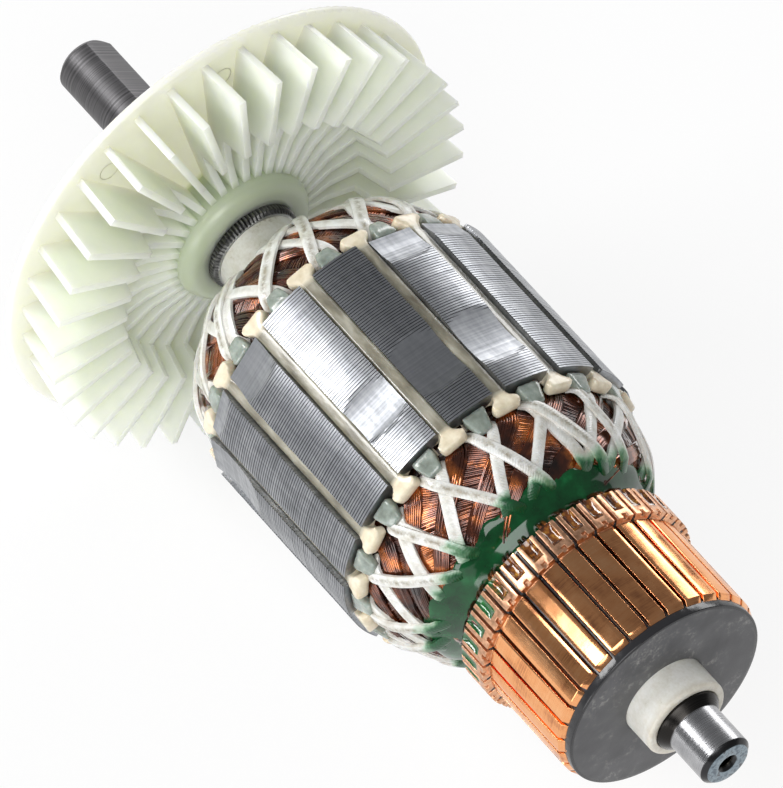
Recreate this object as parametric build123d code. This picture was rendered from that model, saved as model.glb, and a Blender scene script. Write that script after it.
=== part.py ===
from build123d import *
import math
import os

# Armature of a universal motor. All sizes in millimetres.
# The shaft lies along X with the commutator end at +X.
# The origin is the middle of the bearing journal at the commutator end.
# Angles are measured about X from +Y towards +Z, in degrees.

# Fits
SEAT = 0.02             # radial or end clearance between pieces that are pressed or moulded together
COIL_GAP = 0.15         # varnish-filled space round each coil where it lies beside another
OVERCUT = 1.0           # how far a cutting shape runs past the surface it cuts

# Shaft
JOURNAL_RADIUS = 4.5
JOURNAL_LENGTH = 8.2
JOURNAL_CHAMFER = 0.8
SHOULDER_LENGTH = 1.5   # cone between the journal and the shaft body
BODY_RADIUS = 5.7
SLEEVE_SETBACK = 0.3    # bare shaft between the cone and the sleeve
FAN_SEAT_RADIUS = 6.3   # thicker stretch that the fan's bush is pressed on
REAR_SEAT_RADIUS = 6.0
REAR_SEAT_LENGTH = 14.0 # ground stretch behind the fan that takes the drive-end bearing
DRIVE_RADIUS = 5.0
DRIVE_LENGTH = 22.5
DRIVE_CHAMFER = 1.0
DRIVE_FLAT_DEPTH = 0.85
DRIVE_FLAT_LENGTH = 22.0    # runs out in the cone at the bearing seat
DRIVE_FLAT_ANGLE = 54.0
CENTRE_HOLE_RADIUS = 1.1
CENTRE_HOLE_DEPTH = 3.0
CENTRE_CONE_RADIUS = 1.8

# Insulating sleeve on the shaft
SLEEVE_WALL = 1.4
SLEEVE_ROUND = 0.6
SLEEVE_REAR_LENGTH = 10.3   # sleeve seen between the end winding and the fan bush

# Commutator
BAR_COUNT = 32
BAR_PHASE = 7.5         # angle of one gap between bars
BAR_GAP = 0.6
TRACK_RADIUS = 18.3
TRACK_LENGTH = 18.1
BAR_CHAMFER = 1.0
BAR_DEPTH = 3.3         # track surface to the top of the undercut
FOOT_DEPTH = 2.2
FOOT_INSET = 4.5        # bar end to the narrowest part of the foot
FOOT_FLARE = 1.4
RISER_STEP = 1.3
RISER_LENGTH = 5.5
RISER_LIP = 1.7
POCKET_WIDTH = 1.8
POCKET_DEPTH = 1.7
FILL_SETDOWN = 0.25
NOTCH_WIDTH = 0.8
NOTCH_DEPTH = 0.7
NOTCH_LENGTH = 0.8
COLLAR_LENGTH = 5.7     # sleeve standing out of the moulding face
MOULD_RIM_HEIGHT = 1.2
MOULD_RADIUS = 17.6
MICA_UNDERCUT = 0.7
NECK_LENGTH = 3.5       # commutator to the first turn of the end winding

# Core
SLOT_COUNT = 16
TOOTH_PHASE = 8.0       # angle of one tooth centre
CORE_RADIUS = 27.3
CORE_LENGTH = 35.0
TOOTH_WIDTH = 3.6
SLOT_FLOOR = 13.0
SLOT_SHOULDER = 24.4
TIP_ROOT = 25.4
SLOT_OPENING = 2.5

# Balance cuts: tooth number, distance from the core's commutator end, half length, depth
BALANCE_CUTS = [
    (2, 10.4, 6.0, 0.9),
    (3, 11.0, 6.0, 1.0),
    (4, 10.6, 4.5, 0.8),
    (1, 35.8, 4.6, 0.9),
    (2, 34.8, 6.5, 1.1),
    (5, 35.4, 7.6, 1.2),
    (6, 36.2, 4.6, 0.9),
    (7, 29.5, 7.5, 0.9),
]
FIRST_TOOTH_ANGLE = TOOTH_PHASE + 45.0

# Slot insulation and end insulators
LINER_WALL = 0.25
PLATE_LENGTH = 1.0
PLATE_INNER_GAP = 0.3
NUB_RADIUS = 26.3
NUB_FLOOR = 24.3
NUB_STEP = 0.1          # below the nub's floor, where its root is as narrow as a tooth
NUB_ROOT_DEPTH = 2.0
NUB_WIDTH = 4.0
NUB_TIP_WIDTH = 2.6
NUB_LENGTH = 2.8
NUB_TIP_DROP = 0.7
WEDGE_TOP = 26.4
HEAD_WIDTH = 5.0
HEAD_LENGTH = 2.4
HEAD_TOP = 26.6
HEAD_NECK = 0.5
HEAD_FLARE = 1.0        # length over which the head widens
HEAD_CORNER = 0.6

# Winding
COIL_PITCH = 7          # slots between the two sides of a coil
WINDING_RADIUS = 23.8   # end winding where it leaves the core
FRONT_WINDING_LENGTH = 14.9
REAR_WINDING_LENGTH = 14.2
FRONT_DOME_FOOT = 8.0       # dome outline: centre height of the quarter ellipse
FRONT_DOME_REACH = 17.0
REAR_DOME_FOOT = 10.0
REAR_DOME_REACH = 14.9
INNER_SHARE = 0.36      # share of the dome's height held by the turns round the sleeve
SPLIT_SHARE = 0.68      # share where the lower coil side ends and the upper one begins
COIL_ANGLE_GAP = 0.5

# Lacing and neck
CORD_WIDTH = 2.0
CORD_THICKNESS = 0.9
CORD_LIFT = 0.15
CORD_SHIFT = 28.0       # angle that a cord turns through on its way along the winding
CORD_START = 3.7        # distance of a cord's first end from the core
CORD_STATIONS = 6
SLOPE_STEP = 0.05       # short way along the dome that its slope is taken over
FRONT_CORD_END = 10.0
REAR_CORD_END = 12.6
RESIN_LIP = 3.6         # resin running out over the end winding
RESIN_THICKNESS = 2.0
RESIN_LIFT = 0.1        # between the coils and the underside of the resin
RESIN_ROOT_RADIUS = 17.6
RESIN_FOOT_DROP = 1.0   # resin below the dome's edge, in the neck
RESIN_STEPS = 3

# Fan
BLADE_COUNT = 36
BLADE_PHASE = 4.1
BLADE_THICKNESS = 1.2
FAN_RADIUS = 40.2
DISC_THICKNESS = 1.4
DISC_EDGE_ROUND = 0.5
HUB_RADIUS = 12.2
HUB_HEIGHT = 7.8        # above the face of the disc
HUB_ROUND = 2.4
BLADE_FOOT_RADIUS = 37.9    # outer end of a blade at the disc
BLADE_CORNER_RADIUS = 39.2
BLADE_CORNER_HEIGHT = 10.2
BLADE_INNER_RADIUS = 25.1
BLADE_INNER_HEIGHT = 10.0
RIB_OUTER_RADIUS = 23.4
RIB_OUTER_HEIGHT = 4.0
RIB_HUB_HEIGHT = 5.4
BUSH_RADIUS = 8.1
BUSH_STANDOUT = 1.6     # bush standing out of the hub
BUSH_CHAMFER = 0.5

# Stations along X, worked out from the lengths above
JOURNAL_END = JOURNAL_LENGTH / 2
JOURNAL_BACK = JOURNAL_END - JOURNAL_LENGTH
BODY_START = JOURNAL_BACK - SHOULDER_LENGTH
SLEEVE_FRONT = BODY_START - SLEEVE_SETBACK
MOULD_FACE = SLEEVE_FRONT - COLLAR_LENGTH
BAR_FRONT = MOULD_FACE - MOULD_RIM_HEIGHT
RISER_FRONT = BAR_FRONT - TRACK_LENGTH
RISER_BACK = RISER_FRONT - RISER_LENGTH
WINDING_FRONT = RISER_BACK - NECK_LENGTH
FRONT_PLATE_FACE = WINDING_FRONT - FRONT_WINDING_LENGTH
CORE_FRONT = FRONT_PLATE_FACE - PLATE_LENGTH
CORE_BACK = CORE_FRONT - CORE_LENGTH
REAR_PLATE_FACE = CORE_BACK - PLATE_LENGTH
WINDING_BACK = REAR_PLATE_FACE - REAR_WINDING_LENGTH
BUSH_FRONT = WINDING_BACK - SLEEVE_REAR_LENGTH
HUB_FRONT = BUSH_FRONT - BUSH_STANDOUT
DISC_FRONT = HUB_FRONT - HUB_HEIGHT
DISC_BACK = DISC_FRONT - DISC_THICKNESS
DRIVE_START = DISC_BACK - REAR_SEAT_LENGTH
DRIVE_END = DRIVE_START - DRIVE_LENGTH

# Radii and angles worked out from the values above
SLEEVE_RADIUS = BODY_RADIUS + SLEEVE_WALL
ON_SLEEVE = SLEEVE_RADIUS + SEAT
RISER_TOP = TRACK_RADIUS + RISER_STEP
SLOT_ANGLE = 360.0 / SLOT_COUNT
SLOT_PHASE = TOOTH_PHASE + SLOT_ANGLE / 2
BAR_ANGLE = 360.0 / BAR_COUNT
LAYER_COUNT = SLOT_COUNT // 2


def turned(points, start=0.0, arc=360.0):
    """Solid turned about the shaft axis from a closed outline of (x, radius) points."""
    outline = make_face(Polyline(*points, close=True))
    return Rot(start, 0, 0) * revolve(outline, axis=Axis.X, revolution_arc=arc)


def rounded_outline(points, rounds):
    """Closed outline of (x, radius) points, with some corners rounded: {corner index: radius}."""
    outline = make_face(Polyline(*points, close=True))
    for index, radius in rounds.items():
        corner = Vector(points[index][0], points[index][1], 0)
        nearest = min(outline.vertices(), key=lambda v: (Vector(v.X, v.Y, v.Z) - corner).length)
        outline = fillet(nearest, radius)
    return outline


def prism(points, x_low, x_high):
    """Bar along X from a closed outline of (radial, tangential) points, lying at angle 0."""
    outline = Plane.YZ.offset(x_low) * make_face(Polyline(*points, close=True))
    return extrude(outline, amount=x_high - x_low, dir=(1, 0, 0))


def mirrored(points):
    """Outline given by its half with positive tangential values, closed by its mirror image."""
    return points + [(radial, -tangential) for radial, tangential in reversed(points)]


def copies(shape, count, phase):
    """The shape, lying at angle 0, repeated evenly round the shaft."""
    return [Rot(phase + 360.0 * i / count, 0, 0) * shape for i in range(count)]


def slot_half_width(radius, inset=0.0):
    """Half width of a slot between parallel-sided teeth, less an inset."""
    half_pitch = math.radians(SLOT_ANGLE / 2)
    return radius * math.tan(half_pitch) - TOOTH_WIDTH / 2 / math.cos(half_pitch) - inset


def make_shaft():
    profile = turned([
        (JOURNAL_END, 0),
        (JOURNAL_END, JOURNAL_RADIUS - JOURNAL_CHAMFER),
        (JOURNAL_END - JOURNAL_CHAMFER, JOURNAL_RADIUS),
        (JOURNAL_BACK, JOURNAL_RADIUS),
        (BODY_START, BODY_RADIUS),
        (BUSH_FRONT, BODY_RADIUS),
        (BUSH_FRONT, FAN_SEAT_RADIUS),
        (DISC_BACK, FAN_SEAT_RADIUS),
        (DISC_BACK, REAR_SEAT_RADIUS),
        (DRIVE_START, REAR_SEAT_RADIUS),
        (DRIVE_START - (REAR_SEAT_RADIUS - DRIVE_RADIUS), DRIVE_RADIUS),
        (DRIVE_END + DRIVE_CHAMFER, DRIVE_RADIUS),
        (DRIVE_END, DRIVE_RADIUS - DRIVE_CHAMFER),
        (DRIVE_END, 0),
    ])
    flat = Box(DRIVE_FLAT_LENGTH + OVERCUT, DRIVE_RADIUS, 3 * DRIVE_RADIUS)
    flat_level = DRIVE_RADIUS - DRIVE_FLAT_DEPTH
    flat_middle = DRIVE_END + (DRIVE_FLAT_LENGTH - OVERCUT) / 2
    flat = Pos(flat_middle, flat_level + DRIVE_RADIUS / 2, 0) * flat
    shaft = profile - Rot(DRIVE_FLAT_ANGLE, 0, 0) * flat
    for face, inward in ((JOURNAL_END, -1), (DRIVE_END, 1)):
        cone_depth = CENTRE_CONE_RADIUS - CENTRE_HOLE_RADIUS
        shaft = shaft - turned([
            (face, 0),
            (face, CENTRE_CONE_RADIUS),
            (face + inward * cone_depth, CENTRE_HOLE_RADIUS),
            (face + inward * CENTRE_HOLE_DEPTH, CENTRE_HOLE_RADIUS),
            (face + inward * (CENTRE_HOLE_DEPTH + CENTRE_HOLE_RADIUS), 0),
        ])
    return shaft


def make_sleeve():
    inner = BODY_RADIUS + SEAT
    outline = rounded_outline([
        (SLEEVE_FRONT, inner),
        (SLEEVE_FRONT, SLEEVE_RADIUS),
        (BUSH_FRONT + SEAT, SLEEVE_RADIUS),
        (BUSH_FRONT + SEAT, inner),
    ], {1: SLEEVE_ROUND})
    return revolve(outline, axis=Axis.X)


def bar_outline(grow):
    """Long section of a commutator bar with its dovetail foot, grown by a clearance."""
    undercut = TRACK_RADIUS - BAR_DEPTH
    foot = undercut - FOOT_DEPTH
    front = BAR_FRONT + grow
    back = RISER_BACK - grow
    return [
        (front, TRACK_RADIUS - BAR_CHAMFER),
        (BAR_FRONT - BAR_CHAMFER, TRACK_RADIUS + grow),
        (RISER_FRONT + grow, TRACK_RADIUS + grow),
        (RISER_FRONT + grow, RISER_TOP + grow),
        (back, RISER_TOP + grow),
        (back, undercut - grow),
        (RISER_BACK + FOOT_INSET - grow, undercut - grow),
        (RISER_BACK + FOOT_INSET - FOOT_FLARE - grow, foot - grow),
        (BAR_FRONT - FOOT_INSET + FOOT_FLARE + grow, foot - grow),
        (BAR_FRONT - FOOT_INSET + grow, undercut - grow),
        (front, undercut - grow),
    ]


def gap_plate(thickness):
    """Plate that lies in the gap between two bars, at angle 0."""
    low = TRACK_RADIUS - BAR_DEPTH - FOOT_DEPTH - OVERCUT
    high = RISER_TOP + OVERCUT
    length = BAR_FRONT - RISER_BACK + 2 * OVERCUT
    plate = Box(length, high - low, thickness)
    return Pos((BAR_FRONT + RISER_BACK) / 2, (low + high) / 2, 0) * plate


def pocket_block(top, back, clearance):
    """Block that lies in a riser's pocket up to a given radius, at angle 0."""
    floor = RISER_TOP - POCKET_DEPTH + clearance
    front = RISER_FRONT - RISER_LIP - clearance
    block = Box(front - back, top - floor, POCKET_WIDTH - 2 * clearance)
    return Pos((front + back) / 2, (top + floor) / 2, 0) * block


def make_bars():
    ring = turned(bar_outline(0.0))
    notch = Box(NOTCH_LENGTH, 2 * NOTCH_DEPTH, NOTCH_WIDTH)
    notch = Pos(RISER_FRONT - NOTCH_LENGTH / 2, RISER_TOP, 0) * notch
    pocket = pocket_block(RISER_TOP + OVERCUT, RISER_BACK - OVERCUT, 0.0)
    bar_centre = BAR_PHASE + BAR_ANGLE / 2
    bars = ring - copies(gap_plate(BAR_GAP), BAR_COUNT, BAR_PHASE)
    return bars - copies(pocket, BAR_COUNT, bar_centre) - copies(notch, BAR_COUNT, bar_centre)


def make_riser_fill():
    fill = pocket_block(RISER_TOP - FILL_SETDOWN, RISER_BACK, SEAT)
    return Compound(children=copies(fill, BAR_COUNT, BAR_PHASE + BAR_ANGLE / 2))


def make_moulding():
    separator_top = TRACK_RADIUS - MICA_UNDERCUT
    riser_separator_top = RISER_TOP - MICA_UNDERCUT
    body = turned([
        (MOULD_FACE, ON_SLEEVE),
        (MOULD_FACE, MOULD_RADIUS),
        (BAR_FRONT, MOULD_RADIUS),
        (BAR_FRONT - BAR_CHAMFER, separator_top),
        (RISER_FRONT, separator_top),
        (RISER_FRONT, riser_separator_top),
        (RISER_BACK, riser_separator_top),
        (RISER_BACK, ON_SLEEVE),
    ])
    seats = turned(bar_outline(SEAT)) - copies(gap_plate(BAR_GAP - 2 * SEAT), BAR_COUNT, BAR_PHASE)
    return body - seats


def slot_outline():
    return mirrored([
        (SLOT_FLOOR, slot_half_width(SLOT_FLOOR)),
        (SLOT_SHOULDER, slot_half_width(SLOT_SHOULDER)),
        (TIP_ROOT, SLOT_OPENING / 2),
        (CORE_RADIUS + OVERCUT, SLOT_OPENING / 2),
    ])


def make_core():
    blank = turned([
        (CORE_FRONT, ON_SLEEVE),
        (CORE_FRONT, CORE_RADIUS),
        (CORE_BACK, CORE_RADIUS),
        (CORE_BACK, ON_SLEEVE),
    ])
    slot = prism(slot_outline(), CORE_BACK - OVERCUT, CORE_FRONT + OVERCUT)
    core = blank - copies(slot, SLOT_COUNT, SLOT_PHASE)
    cutters = []
    for tooth, distance, half_length, depth in BALANCE_CUTS:
        cutter_radius = (half_length ** 2 + depth ** 2) / (2 * depth)
        reach = 2 * CORE_RADIUS * math.sin(math.radians(SLOT_ANGLE / 2))
        cutter = Cylinder(cutter_radius, reach)
        cutter = Pos(CORE_FRONT - distance, CORE_RADIUS - depth + cutter_radius, 0) * cutter
        cutters.append(Rot(FIRST_TOOTH_ANGLE + SLOT_ANGLE * (tooth - 1), 0, 0) * cutter)
    return core - cutters


def make_end_insulator(core_face, outward):
    """Plate against the end of the core, with a nub at the end of each tooth."""
    inner = ON_SLEEVE + PLATE_INNER_GAP
    near = core_face + outward * SEAT
    far = core_face + outward * PLATE_LENGTH
    low, high = min(near, far), max(near, far)
    plate = turned([(low, inner), (low, NUB_FLOOR), (high, NUB_FLOOR), (high, inner)])
    opening = prism(mirrored([
        (SLOT_FLOOR, slot_half_width(SLOT_FLOOR)),
        (NUB_FLOOR + OVERCUT, slot_half_width(NUB_FLOOR + OVERCUT)),
    ]), low - OVERCUT, high + OVERCUT)
    plate = plate - copies(opening, SLOT_COUNT, SLOT_PHASE)
    root = prism(mirrored([
        (NUB_FLOOR - NUB_ROOT_DEPTH, TOOTH_WIDTH / 2),
        (NUB_FLOOR - NUB_STEP, TOOTH_WIDTH / 2),
        (NUB_FLOOR, NUB_WIDTH / 2),
        (NUB_RADIUS, NUB_WIDTH / 2),
    ]), low, high)
    tip_x = far + outward * NUB_LENGTH
    base = Plane.YZ.offset(far) * make_face(Polyline(*mirrored([
        (NUB_FLOOR, NUB_WIDTH / 2),
        (NUB_RADIUS, NUB_WIDTH / 2),
    ]), close=True))
    tip = Plane.YZ.offset(tip_x) * make_face(Polyline(*mirrored([
        (NUB_FLOOR, NUB_TIP_WIDTH / 2),
        (NUB_RADIUS - NUB_TIP_DROP, NUB_TIP_WIDTH / 2),
    ]), close=True))
    nub = loft([base, tip], ruled=True)
    return plate + copies(root, SLOT_COUNT, TOOTH_PHASE) + copies(nub, SLOT_COUNT, TOOTH_PHASE)


def make_slot_liners():
    """Paper channel in each slot, from the face of one end plate to the other."""
    outer = SEAT
    inner = SEAT + LINER_WALL
    top = SLOT_SHOULDER - 2 * LINER_WALL
    floor = SLOT_FLOOR + SEAT
    section = [
        (top, slot_half_width(top, outer)),
        (floor, slot_half_width(floor, outer)),
        (floor, -slot_half_width(floor, outer)),
        (top, -slot_half_width(top, outer)),
        (top, -slot_half_width(top, inner)),
        (floor + LINER_WALL, -slot_half_width(floor + LINER_WALL, inner)),
        (floor + LINER_WALL, slot_half_width(floor + LINER_WALL, inner)),
        (top, slot_half_width(top, inner)),
    ]
    liner = prism(section, REAR_PLATE_FACE, FRONT_PLATE_FACE)
    return Compound(children=copies(liner, SLOT_COUNT, SLOT_PHASE))


def make_slot_wedges():
    """Strip that closes each slot, with a wider head beyond each end of the core."""
    side = SLOT_OPENING / 2 - SEAT
    seat_width = slot_half_width(SLOT_SHOULDER, 4 * SEAT)
    under = SLOT_SHOULDER + SEAT
    wedge = prism(mirrored([
        (under, seat_width),
        (TIP_ROOT - SEAT, side),
        (WEDGE_TOP, side),
    ]), CORE_BACK, CORE_FRONT)
    for face, outward in ((CORE_FRONT, 1), (CORE_BACK, -1)):
        neck = face + outward * HEAD_NECK
        shoulder = face + outward * (HEAD_NECK + HEAD_FLARE)
        tip = face + outward * (HEAD_NECK + HEAD_LENGTH)
        corner = tip - outward * HEAD_CORNER
        outline = make_face(Polyline(
            (face, side),
            (neck, side),
            (shoulder, HEAD_WIDTH / 2),
            (corner, HEAD_WIDTH / 2),
            (tip, HEAD_WIDTH / 2 - HEAD_CORNER),
            (tip, HEAD_CORNER - HEAD_WIDTH / 2),
            (corner, -HEAD_WIDTH / 2),
            (shoulder, -HEAD_WIDTH / 2),
            (neck, -side),
            (face, -side),
            close=True,
        ))
        wedge = wedge + extrude(Plane.XZ.offset(-under) * outline, amount=HEAD_TOP - under, dir=(0, 1, 0))
    return Compound(children=copies(wedge, SLOT_COUNT, SLOT_PHASE))


class EndWinding:
    """Domed end winding, in layers of two coils each, stacked away from the core."""

    def __init__(self, face, outward, length, foot, reach):
        self.face = face
        self.outward = outward
        self.length = length
        self.foot = foot
        self.reach = reach
        self.layer = length / LAYER_COUNT

    def dome(self, height):
        """Radius of the smooth dome at a height above the end plate."""
        return self.foot + (WINDING_RADIUS - self.foot) * math.sqrt(1 - (height / self.reach) ** 2)

    def radius(self, height, share):
        """Radius at a share of the way from the sleeve to the dome, straight within each layer."""
        inner = SLEEVE_RADIUS + COIL_GAP
        below = min(int(height / self.layer + 1e-6), LAYER_COUNT - 1)
        foot = self.dome(below * self.layer)
        top = self.dome((below + 1) * self.layer)
        dome = foot + (top - foot) * (height / self.layer - below)
        return inner + share * (dome - inner)

    def block(self, low, high, share_low, share_high, lift_low, lift_high, start, end):
        """Sector between two heights and two shares, with its sides set in by the given lifts."""
        between = [self.layer * i for i in range(1, LAYER_COUNT)]
        heights = [low] + [h for h in between if low + COIL_GAP < h < high - COIL_GAP] + [high]
        outer = [(h, self.radius(h, share_high) - lift_high) for h in heights]
        inner = [(h, self.radius(h, share_low) + lift_low) for h in reversed(heights)]
        points = [(self.face + self.outward * h, r) for h, r in outer + inner]
        return turned(points, start, end - start)


def slot_layers(slot):
    """Layers of the lower and the upper coil side in a slot."""
    if slot % LAYER_COUNT == COIL_PITCH:
        return 0, COIL_PITCH
    low = slot % LAYER_COUNT
    return low, low + 1


def make_coil_end(winding, layer, first_slot):
    """Turns of one coil beyond the end plate, with the two stems that come up from its slots."""
    low = layer * winding.layer + (COIL_GAP if layer else SEAT)
    high = (layer + 1) * winding.layer
    reach = {}
    for step in range(COIL_PITCH + 1):
        lower, upper = slot_layers((first_slot + step) % SLOT_COUNT)
        if layer >= upper:
            reach[step] = 1.0
        elif layer >= lower:
            reach[step] = SPLIT_SHARE
        else:
            reach[step] = INNER_SHARE

    def sector(steps, share):
        start = SLOT_PHASE + (first_slot + steps[0] - 0.5) * SLOT_ANGLE + COIL_ANGLE_GAP
        end = SLOT_PHASE + (first_slot + steps[-1] + 0.5) * SLOT_ANGLE - COIL_ANGLE_GAP
        lift = 0.0 if share == 1.0 else COIL_GAP / 2
        return winding.block(low, high, 0.0, share, 0.0, lift, start, end)

    coil_end = sector([0, COIL_PITCH], INNER_SHARE)
    for share in (SPLIT_SHARE, 1.0):
        run = []
        for step in range(COIL_PITCH + 2):
            if reach.get(step, 0.0) >= share:
                run.append(step)
            elif run:
                coil_end = coil_end + sector(run, share)
                run = []
    for step in (0, COIL_PITCH):
        slot = (first_slot + step) % SLOT_COUNT
        is_lower = slot_layers(slot)[0] == layer
        share_low, share_high = (INNER_SHARE, SPLIT_SHARE) if is_lower else (SPLIT_SHARE, 1.0)
        lift_high = COIL_GAP / 2 if is_lower else 0.0
        centre = SLOT_PHASE + slot * SLOT_ANGLE
        half = SLOT_ANGLE / 2 - COIL_ANGLE_GAP
        stem = winding.block(SEAT, high, share_low, share_high, COIL_GAP / 2, lift_high,
                             centre - half, centre + half)
        coil_end = coil_end + stem
    return coil_end


def make_coil(layer, first_slot, ends):
    """One closed coil: two sides lying in slots and the turns that join them at each end."""
    coil = None
    inset = LINER_WALL + 2 * SEAT
    floor = SLOT_FLOOR + LINER_WALL + 2 * SEAT
    top = SLOT_SHOULDER - LINER_WALL
    split = ends[0].radius(0.0, SPLIT_SHARE)
    for step in (0, COIL_PITCH):
        slot = (first_slot + step) % SLOT_COUNT
        if slot_layers(slot)[0] == layer:
            low, high = floor, split - COIL_GAP / 2
        else:
            low, high = split + COIL_GAP / 2, top - COIL_GAP
        side = prism(mirrored([
            (low, slot_half_width(low, inset)),
            (high, slot_half_width(high, inset)),
        ]), REAR_PLATE_FACE - 2 * SEAT, FRONT_PLATE_FACE + 2 * SEAT)
        side = Rot(SLOT_PHASE + slot * SLOT_ANGLE, 0, 0) * side
        coil = side if coil is None else coil + side
    for winding in ends:
        coil = coil + make_coil_end(winding, layer, first_slot)
    return coil


def cord_section(winding, height, angle, turn_rate, lift):
    """Flat section of a lacing cord where it crosses a given height of the dome."""
    x = winding.face + winding.outward * height
    radius = winding.dome(height) + lift
    rise = winding.dome(height + SLOPE_STEP) - winding.dome(height - SLOPE_STEP)
    slope = rise / (2 * SLOPE_STEP)
    theta = math.radians(angle)
    along = Vector(winding.outward, slope * math.cos(theta), slope * math.sin(theta)).normalized()
    tangent = Vector(0, -math.sin(theta), math.cos(theta))
    sideways = math.radians(turn_rate) * radius
    path = along * math.hypot(1.0, slope) + tangent * sideways
    path = path.normalized()
    normal = along.cross(tangent).normalized()
    if normal.dot(Vector(0, math.cos(theta), math.sin(theta))) < 0:
        normal = normal * -1
    across = normal.cross(path).normalized()
    middle = Vector(x, radius * math.cos(theta), radius * math.sin(theta)) + normal * (CORD_THICKNESS / 2)
    side = across * (CORD_WIDTH / 2)
    half = normal * (CORD_THICKNESS / 2)
    corners = [middle + side + half, middle - side + half, middle - side - half, middle + side - half]
    return Wire.make_polygon(corners, close=True)


def make_lacing(winding, cord_end):
    """Two families of cords that cross over the end winding, one family lying on the other."""
    cords = []
    span = cord_end - CORD_START
    for family, sense in ((0, 1), (1, -1)):
        lift = CORD_LIFT + family * (CORD_THICKNESS + SEAT)
        sections = []
        for i in range(CORD_STATIONS):
            share = i / (CORD_STATIONS - 1)
            height = CORD_START + span * share
            angle = sense * CORD_SHIFT * (share - 0.5)
            sections.append(cord_section(winding, height, angle, sense * CORD_SHIFT / span, lift))
        cord = Solid.make_loft(sections, ruled=True)
        cords = cords + copies(cord, SLOT_COUNT, SLOT_PHASE)
    return Compound(children=cords)


def make_neck_resin(winding):
    """Ring of resin behind the commutator that runs out over the front of the end winding."""
    lip_heights = [FRONT_WINDING_LENGTH - RESIN_LIP * i / RESIN_STEPS for i in range(RESIN_STEPS + 1)]
    outer = [(winding.face + h, winding.dome(h) + RESIN_THICKNESS) for h in lip_heights[:-1]]
    edge = lip_heights[-1]
    outer.append((winding.face + edge, winding.dome(edge) + RESIN_THICKNESS / 2))
    inner = [(winding.face + h, winding.dome(h) + RESIN_LIFT) for h in reversed(lip_heights)]
    return turned([(RISER_BACK - SEAT, ON_SLEEVE), (RISER_BACK - SEAT, RESIN_ROOT_RADIUS)]
                  + outer + inner
                  + [(WINDING_FRONT + SEAT, winding.dome(FRONT_WINDING_LENGTH) - RESIN_FOOT_DROP),
                     (WINDING_FRONT + SEAT, ON_SLEEVE)])


def make_fan():
    outline = rounded_outline([
        (HUB_FRONT, BUSH_RADIUS + SEAT),
        (HUB_FRONT, HUB_RADIUS),
        (DISC_FRONT, HUB_RADIUS),
        (DISC_FRONT, FAN_RADIUS),
        (DISC_BACK, FAN_RADIUS),
        (DISC_BACK, BUSH_RADIUS + SEAT),
    ], {1: HUB_ROUND, 3: DISC_EDGE_ROUND, 4: DISC_EDGE_ROUND})
    disc = revolve(outline, axis=Axis.X)
    root = DISC_FRONT - DISC_THICKNESS / 2
    blade_outline = make_face(Polyline(
        (root, HUB_RADIUS - OVERCUT),
        (DISC_FRONT + RIB_HUB_HEIGHT, HUB_RADIUS - OVERCUT),
        (DISC_FRONT + RIB_OUTER_HEIGHT, (HUB_RADIUS + RIB_OUTER_RADIUS) / 2),
        (DISC_FRONT + RIB_OUTER_HEIGHT, RIB_OUTER_RADIUS),
        (DISC_FRONT + BLADE_INNER_HEIGHT, BLADE_INNER_RADIUS),
        (DISC_FRONT + BLADE_CORNER_HEIGHT, BLADE_CORNER_RADIUS),
        (DISC_FRONT, BLADE_FOOT_RADIUS),
        (root, BLADE_FOOT_RADIUS),
        close=True,
    ))
    blade = extrude(blade_outline, amount=BLADE_THICKNESS / 2, both=True)
    return disc + copies(blade, BLADE_COUNT, BLADE_PHASE)


def make_fan_bush():
    inner = FAN_SEAT_RADIUS + SEAT
    return turned([
        (BUSH_FRONT, inner),
        (BUSH_FRONT, BUSH_RADIUS - BUSH_CHAMFER),
        (BUSH_FRONT - BUSH_CHAMFER, BUSH_RADIUS),
        (DISC_BACK, BUSH_RADIUS),
        (DISC_BACK, inner),
    ])


def write(shape, name):
    export_step(shape, "parts/" + name + ".step")


os.makedirs("parts", exist_ok=True)

front_winding = EndWinding(FRONT_PLATE_FACE, 1, FRONT_WINDING_LENGTH, FRONT_DOME_FOOT, FRONT_DOME_REACH)
rear_winding = EndWinding(REAR_PLATE_FACE, -1, REAR_WINDING_LENGTH, REAR_DOME_FOOT, REAR_DOME_REACH)

write(make_shaft(), "shaft")
write(make_sleeve(), "shaft_sleeve")
write(make_bars(), "commutator_bars")
write(make_riser_fill(), "riser_pocket_fill")
write(make_moulding(), "commutator_moulding")
write(make_core(), "lamination_stack")
write(make_end_insulator(CORE_FRONT, 1), "end_insulator_commutator_side")
write(make_end_insulator(CORE_BACK, -1), "end_insulator_fan_side")
write(make_slot_liners(), "slot_liners")
write(make_slot_wedges(), "slot_wedges")
for number in range(SLOT_COUNT):
    layer_index = number // 2
    first = layer_index + (number % 2) * LAYER_COUNT
    write(make_coil(layer_index, first, (front_winding, rear_winding)), f"coil_{number + 1:02d}")
write(make_lacing(front_winding, FRONT_CORD_END), "lacing_commutator_end")
write(make_lacing(rear_winding, REAR_CORD_END), "lacing_fan_end")
write(make_neck_resin(front_winding), "neck_resin")
write(make_fan(), "fan")
write(make_fan_bush(), "fan_bush")
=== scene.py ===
import math
import random

import bmesh
import bpy
from mathutils import Matrix, Vector


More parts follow.
